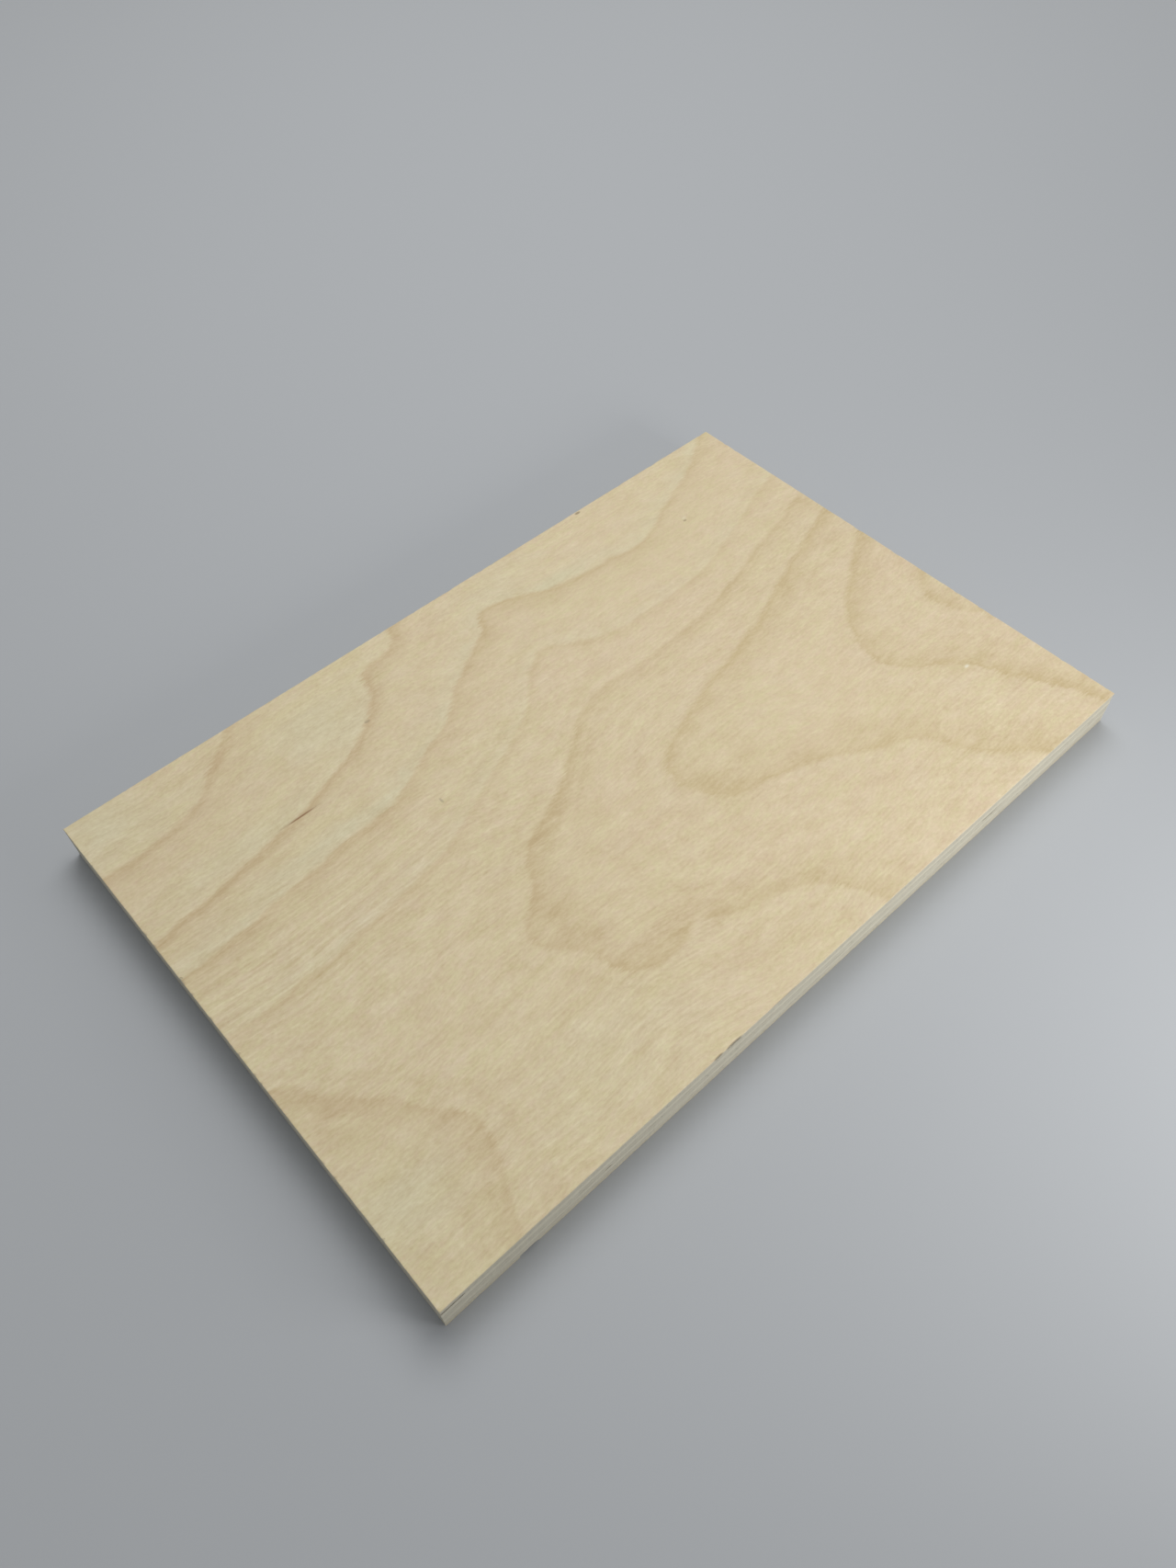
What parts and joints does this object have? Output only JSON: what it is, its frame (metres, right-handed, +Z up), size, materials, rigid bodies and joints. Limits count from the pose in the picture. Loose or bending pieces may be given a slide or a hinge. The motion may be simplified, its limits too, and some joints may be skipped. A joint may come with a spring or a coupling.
{
  "type": "plywood sheet",
  "caption": "Flat rectangular plywood sheet with a pale, flowing face veneer and square sawn edges that show its crossed plies.",
  "frame": {"origin": "middle of the back face, on which the sheet lies", "axes": "+X along the length and the face grain, +Y across the grain towards the back edge, +Z up through the face"},
  "size_m": [0.3, 0.2, 0.015],
  "materials": {
    "face_wood": "sanded, unfinished",
    "cross_ply_wood": "sawn end grain",
    "long_ply_wood": "sawn along the grain",
    "back_wood": "sanded, unfinished"
  },
  "bodies": {
    "root": {"face_veneer": "face_wood", "upper_cross_ply": "cross_ply_wood", "upper_long_ply": "long_ply_wood", "middle_cross_ply": "cross_ply_wood", "lower_long_ply": "long_ply_wood", "lower_cross_ply": "cross_ply_wood", "back_veneer": "back_wood"}
  },
  "joints": []
}
